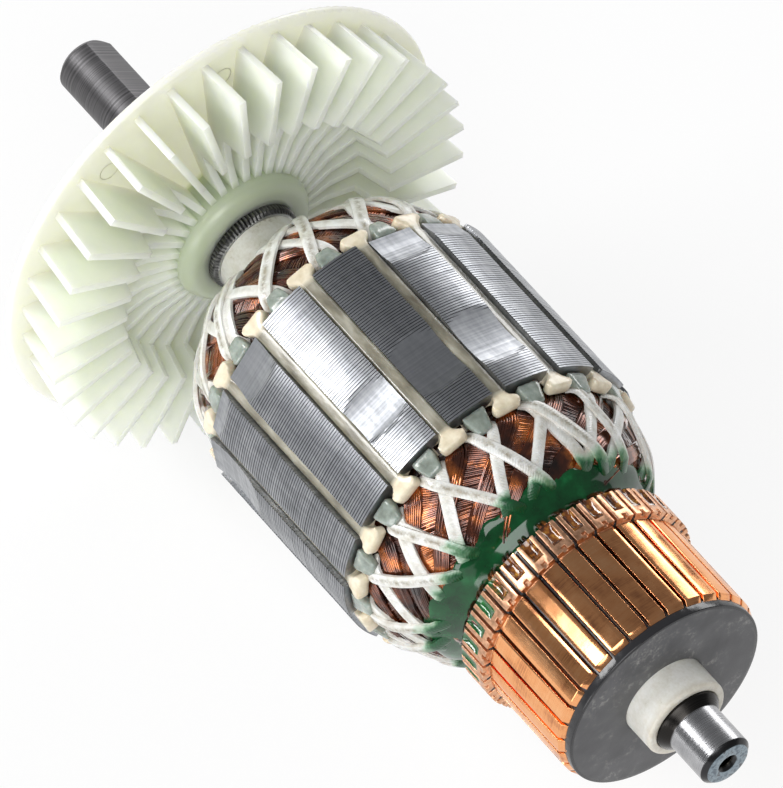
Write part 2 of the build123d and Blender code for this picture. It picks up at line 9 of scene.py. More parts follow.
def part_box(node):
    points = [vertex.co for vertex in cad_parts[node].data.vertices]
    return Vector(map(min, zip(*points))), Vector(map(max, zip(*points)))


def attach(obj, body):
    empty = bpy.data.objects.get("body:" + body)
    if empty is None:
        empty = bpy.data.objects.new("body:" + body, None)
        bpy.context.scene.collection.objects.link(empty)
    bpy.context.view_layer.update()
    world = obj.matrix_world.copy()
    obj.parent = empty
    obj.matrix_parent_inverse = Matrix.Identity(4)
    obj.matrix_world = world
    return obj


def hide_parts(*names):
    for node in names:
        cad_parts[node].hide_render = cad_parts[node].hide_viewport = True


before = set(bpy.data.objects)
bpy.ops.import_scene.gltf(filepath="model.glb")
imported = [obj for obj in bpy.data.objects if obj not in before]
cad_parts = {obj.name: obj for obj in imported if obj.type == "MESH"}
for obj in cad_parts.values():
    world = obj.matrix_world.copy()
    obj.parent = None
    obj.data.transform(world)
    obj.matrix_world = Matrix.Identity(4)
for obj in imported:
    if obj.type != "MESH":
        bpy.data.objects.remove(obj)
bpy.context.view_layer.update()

# Motor armature: finish, wires, lacing, resin and small details round the fixed frame.
# Lengths are in millimetres in the values below, apart from the stage and light, and in metres in Blender.
# Angles are measured about X from +Y towards +Z, in degrees.
MM = 0.001
rng = random.Random(16)

# Camera
VIEW_AZIMUTH = 53.92
VIEW_ELEVATION = 52.6
FOCAL_PIXELS = 10014.0
IMAGE_WIDTH, IMAGE_HEIGHT = 783, 788
SENSOR = 36.0
BAR_FRONT_IN_VIEW = (40.2, 44.3, 1500.8)    # right, down and away from the camera, on the shaft axis

# Stage and light, in metres
FLOOR_HALF = 3.0
FLOOR_GLOW = 0.85             # share of plain white in the floor where it is seen or mirrored
ROOM_LIGHT = 0.2              # strength of the surroundings, apart from what the camera sees
LIGHT_AIM = (-0.075, 0.0, 0.0)    # middle of the armature

# Sizes shared with the frame
JOURNAL_CHAMFER = 0.8
CENTRE_HOLE_RADIUS = 1.1
REAR_SEAT_LENGTH = 14.0
SLEEVE_RADIUS = 7.1
BAR_COUNT = 32
BAR_ANGLE = 360.0 / BAR_COUNT
BAR_PHASE = 7.5
BAR_GAP = 0.6
TRACK_RADIUS = 18.3
TRACK_LENGTH = 18.1
RISER_STEP = 1.3
RISER_LIP = 1.7
POCKET_WIDTH = 1.8
POCKET_DEPTH = 1.7
MOULD_RADIUS = 17.6
SLOT_COUNT = 16
SLOT_ANGLE = 360.0 / SLOT_COUNT
TOOTH_PHASE = 8.0
SLOT_PHASE = TOOTH_PHASE + SLOT_ANGLE / 2
TOOTH_WIDTH = 3.6
SLOT_FLOOR = 13.0
SLOT_SHOULDER = 24.4
SLOT_OPENING = 2.5
TIP_ROOT = 25.4
PLATE_LENGTH = 1.0
WINDING_RADIUS = 23.8
FRONT_WINDING_LENGTH = 14.9
FRONT_DOME = (8.0, 17.0)      # foot and reach of the dome's quarter ellipse
REAR_DOME = (10.0, 14.9)
BUSH_RADIUS = 8.1
BUSH_CHAMFER = 0.5
HUB_RADIUS = 12.2
DISC_THICKNESS = 1.4
BLADE_COUNT = 36
BLADE_PHASE = 4.1
BALANCE_CUTS = [
    # tooth, middle of the cut behind the front of the core, half its length, depth
    (2, 10.4, 6.0, 0.9),
    (3, 11.0, 6.0, 1.0),
    (4, 10.6, 4.5, 0.8),
    (1, 35.8, 4.6, 0.9),
    (2, 34.8, 6.5, 1.1),
    (5, 35.4, 7.6, 1.2),
    (6, 36.2, 4.6, 0.9),
    (7, 29.5, 7.5, 0.9),
]
FIRST_TOOTH_ANGLE = TOOTH_PHASE + 45.0

# Sizes of the finish
BAR_FLATNESS = 0.15           # share of the round that stays in the top of a bar
SHEET = 0.5
SHEET_GROOVE = 0.14
WIRE_RADIUS = 0.31
WIRE_START = 0.2              # height above the face of the core
LEAD_RADIUS = 0.36
CORD_FULLNESS = 0.18          # how much squarer than an ellipse a cord's section is
CORD_START = 0.9
CORD_LIFT = 0.95
CORD_STACK = 0.62             # how much higher the upper layer of cords lies
CORD_EASE = 2.0               # length over which a cord sinks into the resin
BRAID_PITCH = 0.46
DIRTY_CORD_OFFSET = 1000.0    # added to the length along the cords of the upper, dirty layer
STAIN = (14.2, 16.6)          # from the face of the core, where resin begins and ends to tint the cords
SOAK = (15.3, 16.5)
RESIN_REACH = 6.1
RESIN_SLUMP = 1.3             # extra reach where the resin ran down
RESIN_SLUMP_ANGLE, RESIN_SLUMP_SPREAD = 185.0, 45.0
RESIN_THICKNESS = 1.15
RESIN_RISE = 3.8              # length over which the neck turns into the coat on the winding
RESIN_NECK_RADIUS = 17.3
RESIN_NECK_DIP = 1.6
RESIN_NECK_LENGTH = 3.6
VARNISH_GAP = 0.03            # between the varnish and its pocket
KNURL_TEETH = 72
KNURL_DEPTH = 0.28
BUSH_WALL = 1.75
MARK_COUNT = 9
MARK_CIRCLE = 33.0            # radius of the circle that the fan's ejector marks lie on


def station(node, side):
    """Position along X of the low (0) or high (1) end of a node, in millimetres."""
    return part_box(node)[side][0] / MM


CORE_BACK, CORE_FRONT = station("lamination_stack", 0), station("lamination_stack", 1)
CORE_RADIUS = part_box("lamination_stack")[1][2] / MM
RISER_BACK, BAR_FRONT = station("commutator_bars", 0), station("commutator_bars", 1)
RISER_FRONT = BAR_FRONT - TRACK_LENGTH
MOULD_FACE = station("commutator_moulding", 1)
SLEEVE_END = station("shaft_sleeve", 1)
JOURNAL_END = station("shaft", 1)
JOURNAL_BACK = -JOURNAL_END
DISC_BACK, BUSH_FRONT = station("fan_bush", 0), station("fan_bush", 1)
DISC_FRONT = DISC_BACK + DISC_THICKNESS
FRONT_FACE = CORE_FRONT + PLATE_LENGTH
REAR_FACE = CORE_BACK - PLATE_LENGTH


class Graph:
    """A material's node graph, with short calls for the nodes used here."""

    def __init__(self, name, colour, **sockets):
        self.material = bpy.data.materials.new(name)
        self.material.use_nodes = True
        self.nodes = self.material.node_tree.nodes
        self.links = self.material.node_tree.links
        self.shader = self.nodes["Principled BSDF"]
        self.shader.inputs["Base Color"].default_value = (*colour, 1.0)
        for key, value in sockets.items():
            socket = self.shader.inputs[key.replace("_", " ").title().replace("Ior", "IOR")]
            socket.default_value = value
        self.place = self.nodes.new("ShaderNodeTexCoord").outputs["Object"]
        self.material.diffuse_color = (*colour, 1.0)

    def put(self, source, target):
        if hasattr(source, "links"):
            self.links.new(source, target)
        else:
            target.default_value = source

    def set(self, name, source):
        self.links.new(source, self.shader.inputs[name])

    def maths(self, operation, first, second=0.0, third=0.0):
        node = self.nodes.new("ShaderNodeMath")
        node.operation = operation
        for value, target in zip((first, second, third), node.inputs):
            self.put(value, target)
        return node.outputs[0]

    def times(self, first, second):
        return self.maths("MULTIPLY", first, second)

    def blend(self, first, first_share, second, second_share):
        """Sum of two values, each times its share."""
        return self.maths("ADD", self.times(first, first_share), self.times(second, second_share))

    def between(self, value, low, high):
        """0 up to low, 1 from high on, and a straight change between. Low may be the larger one."""
        node = self.nodes.new("ShaderNodeMapRange")
        self.put(value, node.inputs["Value"])
        node.inputs["From Min"].default_value = low
        node.inputs["From Max"].default_value = high
        return node.outputs["Result"]

    def step(self, length, low, high):
        """The same for a length, with its limits in millimetres."""
        return self.between(length, low * MM, high * MM)

    def noise(self, size, detail=3.0, stretch=(1, 1, 1), place=None, roughness=0.55):
        """Noise with features of about a size in millimetres, stretched by factors along X, Y and Z."""
        mapping = self.nodes.new("ShaderNodeMapping")
        self.links.new(place or self.place, mapping.inputs["Vector"])
        mapping.inputs["Scale"].default_value = [1 / (size * MM * s) for s in stretch]
        node = self.nodes.new("ShaderNodeTexNoise")
        self.links.new(mapping.outputs[0], node.inputs["Vector"])
        node.inputs["Scale"].default_value = 1.0
        node.inputs["Detail"].default_value = detail
        node.inputs["Roughness"].default_value = roughness
        return node.outputs["Fac"]

    def ramp(self, value, stops):
        node = self.nodes.new("ShaderNodeValToRGB")
        self.links.new(value, node.inputs[0])
        elements = node.color_ramp.elements
        while len(elements) < len(stops):
            elements.new(0.5)
        for element, (position, colour) in zip(elements, stops):
            element.position = position
            element.color = (*colour, 1.0) if hasattr(colour, "__len__") else (colour,) * 3 + (1.0,)
        return node.outputs["Color"]

    def mix(self, share, first, second):
        node = self.nodes.new("ShaderNodeMix")
        node.data_type = "RGBA"
        for value, target in ((share, node.inputs[0]), (first, node.inputs[6]), (second, node.inputs[7])):
            if hasattr(value, "links") or not hasattr(value, "__len__"):
                self.put(value, target)
            else:
                target.default_value = (*value, 1.0)
        return node.outputs[2]

    def bump(self, height, distance, strength=1.0, normal=None):
        """Bump with a height field of 0 to 1 and its depth in millimetres."""
        node = self.nodes.new("ShaderNodeBump")
        self.links.new(height, node.inputs["Height"])
        node.inputs["Distance"].default_value = distance * MM
        node.inputs["Strength"].default_value = strength
        if normal:
            self.links.new(normal, node.inputs["Normal"])
        return node.outputs["Normal"]

    def axes(self):
        node = self.nodes.new("ShaderNodeSeparateXYZ")
        self.links.new(self.place, node.inputs[0])
        return node.outputs

    def polar(self):
        """Position along the shaft, distance from it, and angle round it in radians."""
        x, y, z = self.axes()
        radius = self.maths("SQRT", self.maths("ADD", self.times(y, y), self.times(z, z)))
        return x, radius, self.maths("ARCTAN2", z, y)

    def polar_place(self):
        """Coordinates unrolled round the shaft: along it, round it at a radius of 20 mm, and outwards."""
        x, radius, angle = self.polar()
        node = self.nodes.new("ShaderNodeCombineXYZ")
        self.links.new(x, node.inputs[0])
        self.links.new(self.times(angle, 20.0 * MM), node.inputs[1])
        self.links.new(radius, node.inputs[2])
        return node.outputs[0]


# Materials

def steel_shaft():
    """Steel with fine turning rings, bright at the journal and the bearing seat and dark at the drive end."""
    g = Graph("shaft steel", (0.55, 0.55, 0.56), metallic=1.0, roughness=0.3, anisotropic=0.6)
    x, radius = g.polar()[:2]
    rings = g.noise(0.09, 2.0, (1, 400, 400))
    cloud = g.noise(2.2, 4.0)
    bright = g.ramp(g.blend(rings, 0.5, cloud, 0.5), [(0.3, (0.30, 0.30, 0.31)), (0.7, (0.52, 0.52, 0.53))])
    dark_rings = g.noise(0.35, 3.0, (1, 400, 400))
    dark = g.ramp(dark_rings, [(0.3, (0.06, 0.058, 0.060)), (0.7, (0.19, 0.185, 0.19))])
    seat_back = DISC_BACK - REAR_SEAT_LENGTH
    drive = g.step(x, seat_back + 0.1, seat_back - 0.1)
    colour = g.mix(drive, bright, dark)
    behind_journal = g.step(x, JOURNAL_BACK + 0.2, JOURNAL_BACK - 0.1)
    shoulder = g.times(behind_journal, g.step(x, MOULD_FACE - 0.4, MOULD_FACE + 0.6))
    colour = g.mix(shoulder, colour, (0.03, 0.028, 0.026))
    chamfer = g.step(x, JOURNAL_END - JOURNAL_CHAMFER - 0.15, JOURNAL_END - JOURNAL_CHAMFER)
    colour = g.mix(chamfer, colour, (0.05, 0.05, 0.052))
    face = g.step(x, JOURNAL_END - 0.12, JOURNAL_END - 0.05)
    mottled = g.ramp(g.noise(1.0, 5.0), [
        (0.38, (0.13, 0.16, 0.19)), (0.52, (0.28, 0.34, 0.38)), (0.66, (0.10, 0.10, 0.11)),
    ])
    colour = g.mix(face, colour, mottled)
    # Painted shade: the centre hole in the end face is darkened, standing in for the shade inside the recess.
    centre_hole_shade = g.times(g.step(radius, CENTRE_HOLE_RADIUS + 0.25, CENTRE_HOLE_RADIUS + 0.1), g.step(x, 0.0, 0.5))
    g.set("Base Color", g.mix(centre_hole_shade, colour, (0.02, 0.018, 0.015)))
    g.set("Roughness", g.ramp(g.blend(drive, 0.35, rings, 0.35), [(0.0, 0.16), (1.0, 0.75)]))
    g.set("Normal", g.bump(dark_rings, 0.03, 0.5))
    return g.material


def sleeve_plastic():
    """Off-white plastic with specks of dirt and a dirty front lip."""
    g = Graph("sleeve plastic", (0.8, 0.78, 0.72), roughness=0.42, subsurface_weight=0.12, coat_weight=0.15)
    g.shader.inputs["Subsurface Radius"].default_value = (0.002, 0.0015, 0.001)
    dirt = g.blend(g.noise(2.5, 6.0), 0.6, g.noise(0.5, 3.0), 0.4)
    colour = g.ramp(dirt, [(0.30, (0.40, 0.35, 0.26)), (0.38, (0.76, 0.74, 0.66)), (0.6, (0.88, 0.87, 0.82))])
    lip = g.times(g.step(g.axes()[0], SLEEVE_END - 1.3, SLEEVE_END - 0.3), g.noise(1.2, 5.0))
    g.set("Base Color", g.mix(lip, colour, (0.50, 0.44, 0.33)))
    g.set("Normal", g.bump(g.noise(0.8, 3.0), 0.04, 0.4))
    return g.material


def copper():
    """Turned copper with patches of tarnish, darkened down in the gaps as painted shade, and paler at the
    risers.
    """
    g = Graph("commutator copper", (0.78, 0.40, 0.22), metallic=1.0, roughness=0.2, anisotropic=0.35)
    place = g.polar_place()
    turning = g.noise(0.12, 2.0, (1, 60, 60), place)
    cloud = g.noise(5.0, 4.0, (1, 1, 1), place)
    colour = g.ramp(g.blend(cloud, 0.7, turning, 0.3), [
        (0.30, (0.46, 0.18, 0.09)), (0.46, (0.90, 0.40, 0.17)), (0.7, (0.97, 0.52, 0.26)),
    ])
    x, radius = g.polar()[:2]
    # Painted shade: the sides of the bars down in the gaps are darkened, apart from near the front.
    depth = g.step(radius, TRACK_RADIUS - 0.35, TRACK_RADIUS - 1.0)
    front = g.step(x, BAR_FRONT - 1.2, BAR_FRONT - 0.9)
    gap_shade = g.times(depth, g.maths("SUBTRACT", 1.0, front))
    colour = g.mix(gap_shade, colour, (0.10, 0.030, 0.015))
    riser = g.step(x, RISER_FRONT + 0.3, RISER_FRONT - 0.1)
    riser_colour = g.ramp(g.noise(0.7, 4.0), [(0.3, (0.48, 0.24, 0.14)), (0.65, (0.86, 0.50, 0.31))])
    g.set("Base Color", g.mix(riser, colour, riser_colour))
    g.set("Roughness", g.ramp(g.blend(riser, 0.5, cloud, 0.5), [(0.1, 0.11), (0.5, 0.26), (1.0, 0.42)]))
    g.set("Normal", g.bump(turning, 0.006, 0.35, g.bump(cloud, 0.05, 0.5)))
    return g.material


def phenolic():
    """Matt dark moulding with pale scuffs in patches and a glossy rim."""
    g = Graph("phenolic moulding", (0.09, 0.09, 0.095), roughness=0.5)
    x, radius = g.polar()[:2]
    scuff = g.noise(1.1, 6.0, (1, 1, 1), roughness=0.7)
    grey = g.ramp(g.noise(6.0, 4.0), [(0.3, (0.060, 0.060, 0.063)), (0.7, (0.105, 0.105, 0.11))])
    worn = g.ramp(scuff, [(0.50, 0.0), (0.66, 1.0)])
    patch = g.ramp(g.noise(6.0, 3.0), [(0.46, 0.0), (0.60, 1.0)])
    colour = g.mix(g.times(g.times(worn, patch), 0.6), grey, (0.34, 0.33, 0.31))
    rim = g.maths("MAXIMUM", g.step(radius, MOULD_RADIUS - 0.7, MOULD_RADIUS - 0.4),
                  g.step(x, MOULD_FACE - 0.15, MOULD_FACE - 0.3))
    g.set("Base Color", g.mix(rim, colour, (0.02, 0.02, 0.022)))
    g.set("Roughness", g.ramp(rim, [(0.0, 0.48), (1.0, 0.2)]))
    g.set("Normal", g.bump(scuff, 0.05, 0.4))
    return g.material


def amber_varnish():
    """Clear amber varnish, green in the pockets that the resin has run into."""
    g = Graph("amber varnish", (0.5, 0.22, 0.04), roughness=0.06, coat_weight=1.0, coat_roughness=0.03,
              transmission_weight=0.35, ior=1.5)
    angle = g.polar()[2]
    amber = g.ramp(g.noise(0.9, 3.0), [
        (0.35, (0.06, 0.015, 0.003)), (0.55, (0.30, 0.09, 0.010)), (0.72, (0.75, 0.38, 0.05)),
    ])
    green = g.ramp(g.noise(1.0, 3.0), [(0.3, (0.004, 0.06, 0.015)), (0.7, (0.03, 0.22, 0.05))])
    left = g.between(g.maths("ADD", angle, g.times(g.noise(2.5, 2.0), 0.5)), 2.55, 2.7)
    under = g.between(angle, -0.1, -0.2)
    g.set("Base Color", g.mix(g.maths("MAXIMUM", left, under), amber, green))
    g.set("Normal", g.bump(g.noise(0.9, 2.0), 0.15, 0.7))
    return g.material


def core_steel():
    """Sheet edges, each in its own tone, with streaks along the core and a dark line at each joint."""
    g = Graph("core steel", (0.5, 0.5, 0.52), metallic=1.0, roughness=0.36, coat_weight=0.12,
              coat_roughness=0.1)
    place = g.polar_place()
    sheet = g.noise(0.5, 1.0, (1, 200, 200))
    streak = g.noise(0.8, 3.0, (6, 1, 1), place)
    cloud = g.noise(6.0, 4.0, (1, 1, 1), place)
    tone = g.blend(sheet, 0.35, g.maths("ADD", streak, cloud), 0.33)
    colour = g.ramp(tone, [(0.30, (0.17, 0.18, 0.19)), (0.5, (0.33, 0.34, 0.36)), (0.7, (0.52, 0.53, 0.55))])
    x, radius = g.polar()[:2]
    sheets = g.maths("DIVIDE", g.maths("SUBTRACT", x, CORE_BACK * MM), SHEET * MM)
    joint = g.maths("ABSOLUTE", g.maths("SUBTRACT", g.maths("FRACT", sheets), 0.5))
    turned = g.step(radius, CORE_RADIUS - 0.25, CORE_RADIUS - 0.16)
    line = g.times(g.between(joint, 0.33, 0.42), turned)
    g.set("Base Color", g.mix(g.times(line, 0.88), colour, (0.015, 0.015, 0.017)))
    g.set("Roughness", g.ramp(g.blend(tone, 0.6, line, 0.4), [(0.2, 0.46), (0.42, 0.30), (0.7, 0.6)]))
    g.set("Normal", g.bump(streak, 0.01, 0.4))
    return g.material


def nub_plastic():
    """Grey-green plastic under a wavy coat of varnish."""
    g = Graph("insulator plastic", (0.30, 0.33, 0.29), roughness=0.22, coat_weight=0.8, coat_roughness=0.06,
              subsurface_weight=0.1)
    g.set("Base Color", g.ramp(g.noise(1.8, 4.0), [
        (0.3, (0.17, 0.19, 0.16)), (0.55, (0.28, 0.31, 0.27)), (0.72, (0.42, 0.43, 0.37)),
    ]))
    g.set("Normal", g.bump(g.noise(1.3, 3.0), 0.25, 0.6))
    return g.material


def wedge_board():
    """Varnished board, olive in the slots and cream at the heads outside the core."""
    g = Graph("wedge board", (0.6, 0.52, 0.4), roughness=0.32, coat_weight=0.7, coat_roughness=0.08,
              subsurface_weight=0.1)
    x = g.axes()[0]
    strip = g.ramp(g.noise(2.0, 5.0, (2.5, 1, 1)), [
        (0.3, (0.15, 0.13, 0.095)), (0.5, (0.27, 0.24, 0.18)), (0.7, (0.46, 0.42, 0.34)),
    ])
    head = g.ramp(g.noise(1.5, 5.0), [(0.3, (0.66, 0.53, 0.36)), (0.65, (0.86, 0.74, 0.56))])
    outside = g.maths("MAXIMUM", g.step(x, CORE_FRONT - 0.6, CORE_FRONT + 0.4),
                      g.step(x, CORE_BACK + 0.6, CORE_BACK - 0.4))
    g.set("Base Color", g.mix(outside, strip, head))
    g.set("Roughness", g.ramp(outside, [(0.0, 0.25), (1.0, 0.5)]))
    g.set("Normal", g.bump(g.noise(1.6, 4.0, (2, 1, 1)), 0.2, 0.5))
    return g.material


def enamelled_wire():
    """Copper wire under dark red-brown enamel, brighter in places."""
    g = Graph("enamelled wire", (0.3, 0.09, 0.02), metallic=0.85, roughness=0.2, coat_weight=1.0,
              coat_roughness=0.04, coat_ior=1.55)
    g.set("Base Color", g.ramp(g.noise(4.0, 3.0, (1, 1, 1)), [
        (0.32, (0.018, 0.005, 0.003)), (0.52, (0.12, 0.026, 0.007)), (0.66, (0.50, 0.14, 0.025)),
        (0.8, (0.75, 0.26, 0.05)),
    ]))
    g.set("Normal", g.bump(g.noise(2.0, 2.0), 0.03, 0.3))
    return g.material


def winding_base():
    """Dark varnished turns under the top wires, made much darker than those wires as painted shade under and
    between them.
    """
    g = Graph("winding base", (0.05, 0.015, 0.006), metallic=0.4, roughness=0.25, coat_weight=1.0,
              coat_roughness=0.05)
    turns = g.noise(0.7, 2.0, (8, 1, 1), g.polar_place())
    g.set("Base Color", g.ramp(turns, [
        (0.35, (0.006, 0.003, 0.002)), (0.6, (0.025, 0.008, 0.004)), (0.8, (0.10, 0.03, 0.01)),
    ]))
    g.set("Normal", g.bump(turns, 0.3, 0.8))
    return g.material


def lacing_cord():
    """Off-white braid with dirt along its middle, tinted green where it enters the resin."""
    g = Graph("lacing cord", (0.75, 0.72, 0.66), roughness=0.4, coat_weight=0.55, coat_roughness=0.12,
              subsurface_weight=0.08)
    uv = g.nodes.new("ShaderNodeUVMap").outputs[0]
    parts = g.nodes.new("ShaderNodeSeparateXYZ")
    g.links.new(uv, parts.inputs[0])
    across, along = parts.outputs[0], parts.outputs[1]
    fold = g.maths("ABSOLUTE", g.maths("SUBTRACT", across, 0.5))
    slanted = g.maths("SUBTRACT", along, g.times(fold, 1.2))
    braid = g.maths("SINE", g.times(slanted, 2 * math.pi / BRAID_PITCH))
    braid = g.maths("MULTIPLY_ADD", braid, 0.5, 0.5)
    dirt = g.noise(1.5, 6.0, (1, 1, 1), roughness=0.7)
    middle = g.between(fold, 0.30, 0.05)
    upper = g.between(along, 0.4 * DIRTY_CORD_OFFSET, 0.5 * DIRTY_CORD_OFFSET)
    share = g.maths("MULTIPLY_ADD", upper, 0.65, 0.35)
    dirty = g.times(g.times(middle, share), g.ramp(dirt, [(0.40, 0.0), (0.58, 1.0)]))
    clean = g.ramp(g.noise(2.5, 4.0), [
        (0.3, (0.60, 0.56, 0.48)), (0.5, (0.76, 0.74, 0.69)), (0.7, (0.84, 0.83, 0.80)),
    ])
    colour = g.mix(g.times(dirty, 0.8), clean, (0.22, 0.17, 0.10))
    edge = g.maths("ADD", g.axes()[0], g.times(g.noise(5.0, 3.0), 7.0 * MM))
    stain = g.step(edge, FRONT_FACE + STAIN[0], FRONT_FACE + STAIN[1])
    colour = g.mix(stain, colour, (0.12, 0.38, 0.16))
    soaked = g.step(edge, FRONT_FACE + SOAK[0], FRONT_FACE + SOAK[1])
    g.set("Base Color", g.mix(soaked, colour, (0.002, 0.075, 0.020)))
    g.set("Normal", g.bump(braid, 0.05, 0.6, g.bump(dirt, 0.06, 0.5)))
    return g.material


def green_resin():
    """Dark green casting resin, glossy and slightly wavy."""
    g = Graph("green resin", (0.004, 0.10, 0.025), roughness=0.07, coat_weight=0.3, coat_roughness=0.02,
              ior=1.45)
    g.set("Base Color", g.ramp(g.noise(3.5, 4.0), [
        (0.3, (0.0004, 0.030, 0.007)), (0.6, (0.001, 0.070, 0.017)), (0.78, (0.006, 0.15, 0.040)),
    ]))
    g.set("Roughness", g.ramp(g.noise(3.0, 3.0), [(0.4, 0.04), (0.7, 0.16)]))
    g.set("Normal", g.bump(g.noise(3.0, 1.0), 0.12, 0.5))
    return g.material


def fan_nylon():
    """Translucent nylon, cream at the disc, pale green at the blades and darkened at the hub as painted
    shade.
    """
    g = Graph("fan nylon", (0.88, 0.89, 0.78), roughness=0.32, subsurface_weight=0.9, subsurface_scale=1.0,
              coat_weight=0.2, coat_roughness=0.15)
    g.shader.inputs["Subsurface Radius"].default_value = (0.006, 0.0062, 0.0042)
    x, radius = g.polar()[:2]
    blade = g.step(x, DISC_FRONT + 0.2, DISC_FRONT + 2.5)
    cream = g.ramp(g.noise(9.0, 3.0), [(0.3, (0.80, 0.79, 0.66)), (0.7, (0.85, 0.84, 0.72))])
    pale = g.ramp(g.noise(7.0, 3.0), [(0.3, (0.77, 0.84, 0.67)), (0.7, (0.83, 0.88, 0.72))])
    # Painted shade: the hub round the bush is darkened.
    hub_shade = g.step(radius, HUB_RADIUS + 1.3, HUB_RADIUS - 0.2)
    colour = g.mix(blade, cream, pale)
    g.set("Base Color", g.mix(g.times(hub_shade, 0.8), colour, (0.43, 0.49, 0.35)))
    g.set("Normal", g.bump(g.noise(3.0, 3.0), 0.05, 0.3))
    return g.material


def fan_mark():
    g = Graph("fan mark", (0.66, 0.64, 0.50), roughness=0.4)
    g.set("Base Color", g.ramp(g.noise(1.0, 3.0), [(0.3, (0.50, 0.48, 0.36)), (0.7, (0.76, 0.74, 0.60))]))
    return g.material


def bush_steel():
    """Dark steel, paler on the crests of the knurl and bright on the end faces near the bore."""
    g = Graph("bush steel", (0.2, 0.2, 0.2), metallic=1.0, roughness=0.35)
    radius = g.polar()[1]
    crest = g.step(radius, BUSH_RADIUS - 0.12, BUSH_RADIUS + 0.02)
    near_bore = g.step(radius, BUSH_RADIUS - 0.6, BUSH_RADIUS - 0.9)
    dark = g.ramp(g.noise(0.8, 4.0), [(0.3, (0.035, 0.035, 0.034)), (0.7, (0.12, 0.12, 0.115))])
    colour = g.mix(crest, dark, (0.22, 0.22, 0.21))
    g.set("Base Color", g.mix(near_bore, colour, (0.62, 0.63, 0.62)))
    return g.material


def liner_paper():
    g = Graph("liner paper", (0.7, 0.62, 0.5), roughness=0.6)
    g.set("Base Color", g.ramp(g.noise(2.0, 4.0), [(0.3, (0.5, 0.42, 0.3)), (0.7, (0.75, 0.68, 0.55))]))
    return g.material


def floor_white():
    """Pale matt floor, nearly plain white where it is seen or mirrored, which keeps the shadow."""
    g = Graph("floor white", (0.86, 0.86, 0.86), roughness=0.8)
    glow = g.nodes.new("ShaderNodeEmission")
    glow.inputs["Color"].default_value = (1, 1, 1, 1)
    rays = g.nodes.new("ShaderNodeLightPath").outputs
    mirrored = g.maths("ADD", rays["Is Camera Ray"], rays["Is Glossy Ray"])
    seen = g.maths("ADD", mirrored, rays["Is Transmission Ray"])
    seen.node.use_clamp = True
    blend = g.nodes.new("ShaderNodeMixShader")
    g.links.new(g.times(seen, FLOOR_GLOW), blend.inputs[0])
    g.links.new(g.shader.outputs[0], blend.inputs[1])
    g.links.new(glow.outputs[0], blend.inputs[2])
    g.links.new(blend.outputs[0], g.nodes["Material Output"].inputs["Surface"])
    return g.material


MATERIALS = {
    "shaft": steel_shaft(),
    "sleeve": sleeve_plastic(),
    "copper": copper(),
    "phenolic": phenolic(),
    "varnish": amber_varnish(),
    "core": core_steel(),
    "nub": nub_plastic(),
    "wedge": wedge_board(),
    "wire": enamelled_wire(),
    "base": winding_base(),
    "lacing": lacing_cord(),
    "resin": green_resin(),
    "fan": fan_nylon(),
    "mark": fan_mark(),
    "bush": bush_steel(),
    "liner": liner_paper(),
}


# Pieces

class Builder:
    """Collects vertices and faces, in millimetres, and makes one piece of them."""

    def __init__(self):
        self.points = []
        self.faces = []

    def loop(self, points):
        start = len(self.points)
        self.points.extend(points)
        return list(range(start, len(self.points)))

    def skin(self, loops, round_and_back=False):
        """Joins loops of equal length with quads, and closes the ends or joins the last loop to the first."""
        pairs = list(zip(loops, loops[1:]))
        if round_and_back:
            pairs.append((loops[-1], loops[0]))
        for first, second in pairs:
            count = len(first)
            for i in range(count):
                j = (i + 1) % count
                self.faces.append((first[i], first[j], second[j], second[i]))
        if not round_and_back:
            self.faces.append(tuple(reversed(loops[0])))
            self.faces.append(tuple(loops[-1]))

    def sweep(self, path, normals, section, scales=None):
        """Sweeps a section of (across, up) points along a path, with the given surface normals."""
        loops = []
        for i, point in enumerate(path):
            before = path[max(i - 1, 0)]
            after = path[min(i + 1, len(path) - 1)]
            along = (after - before).normalized()
            across = normals[i].cross(along).normalized()
            up = along.cross(across)
            scale = scales[i] if scales else 1.0
            loops.append(self.loop([point + across * (u * scale) + up * (v * scale) for u, v in section]))
        self.skin(loops)

    def piece(self, name, material, slot, replaced, smooth_angle, uvs=None):
        mesh = bpy.data.meshes.new(name)
        mesh.from_pydata([tuple(c * MM for c in p) for p in self.points], [], self.faces)
        if uvs:
            layer = mesh.uv_layers.new(name="UVMap")
            for loop in mesh.loops:
                layer.data[loop.index].uv = uvs[loop.vertex_index]
        return finish_piece(name, mesh, material, replaced, smooth_angle)


def finish_piece(name, mesh, material, replaced, smooth_angle):
    """Makes a mesh a piece of the armature, which may stand for CAD nodes."""
    tidy = bmesh.new()
    tidy.from_mesh(mesh)
    bmesh.ops.recalc_face_normals(tidy, faces=tidy.faces)
    tidy.to_mesh(mesh)
    tidy.free()
    mesh.materials.clear()
    mesh.materials.append(MATERIALS[material])
    mesh.shade_smooth()
    mesh.set_sharp_from_angle(angle=math.radians(smooth_angle))
    piece = bpy.data.objects.new(name, mesh)
    bpy.context.scene.collection.objects.link(piece)
    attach(piece, "root")
    if replaced:
        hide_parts(*replaced)
    return piece


def polar(x, radius, angle):
    """Point at a position along the shaft, a radius and an angle in degrees."""
    theta = math.radians(angle)
    return Vector((x, radius * math.cos(theta), radius * math.sin(theta)))


def beside(x, level, side, angle):
    """Point at a height out along an angle, and at a distance to the side of it."""
    theta = math.radians(angle)
    return Vector((x, level * math.cos(theta) - side * math.sin(theta),
                   level * math.sin(theta) + side * math.cos(theta)))


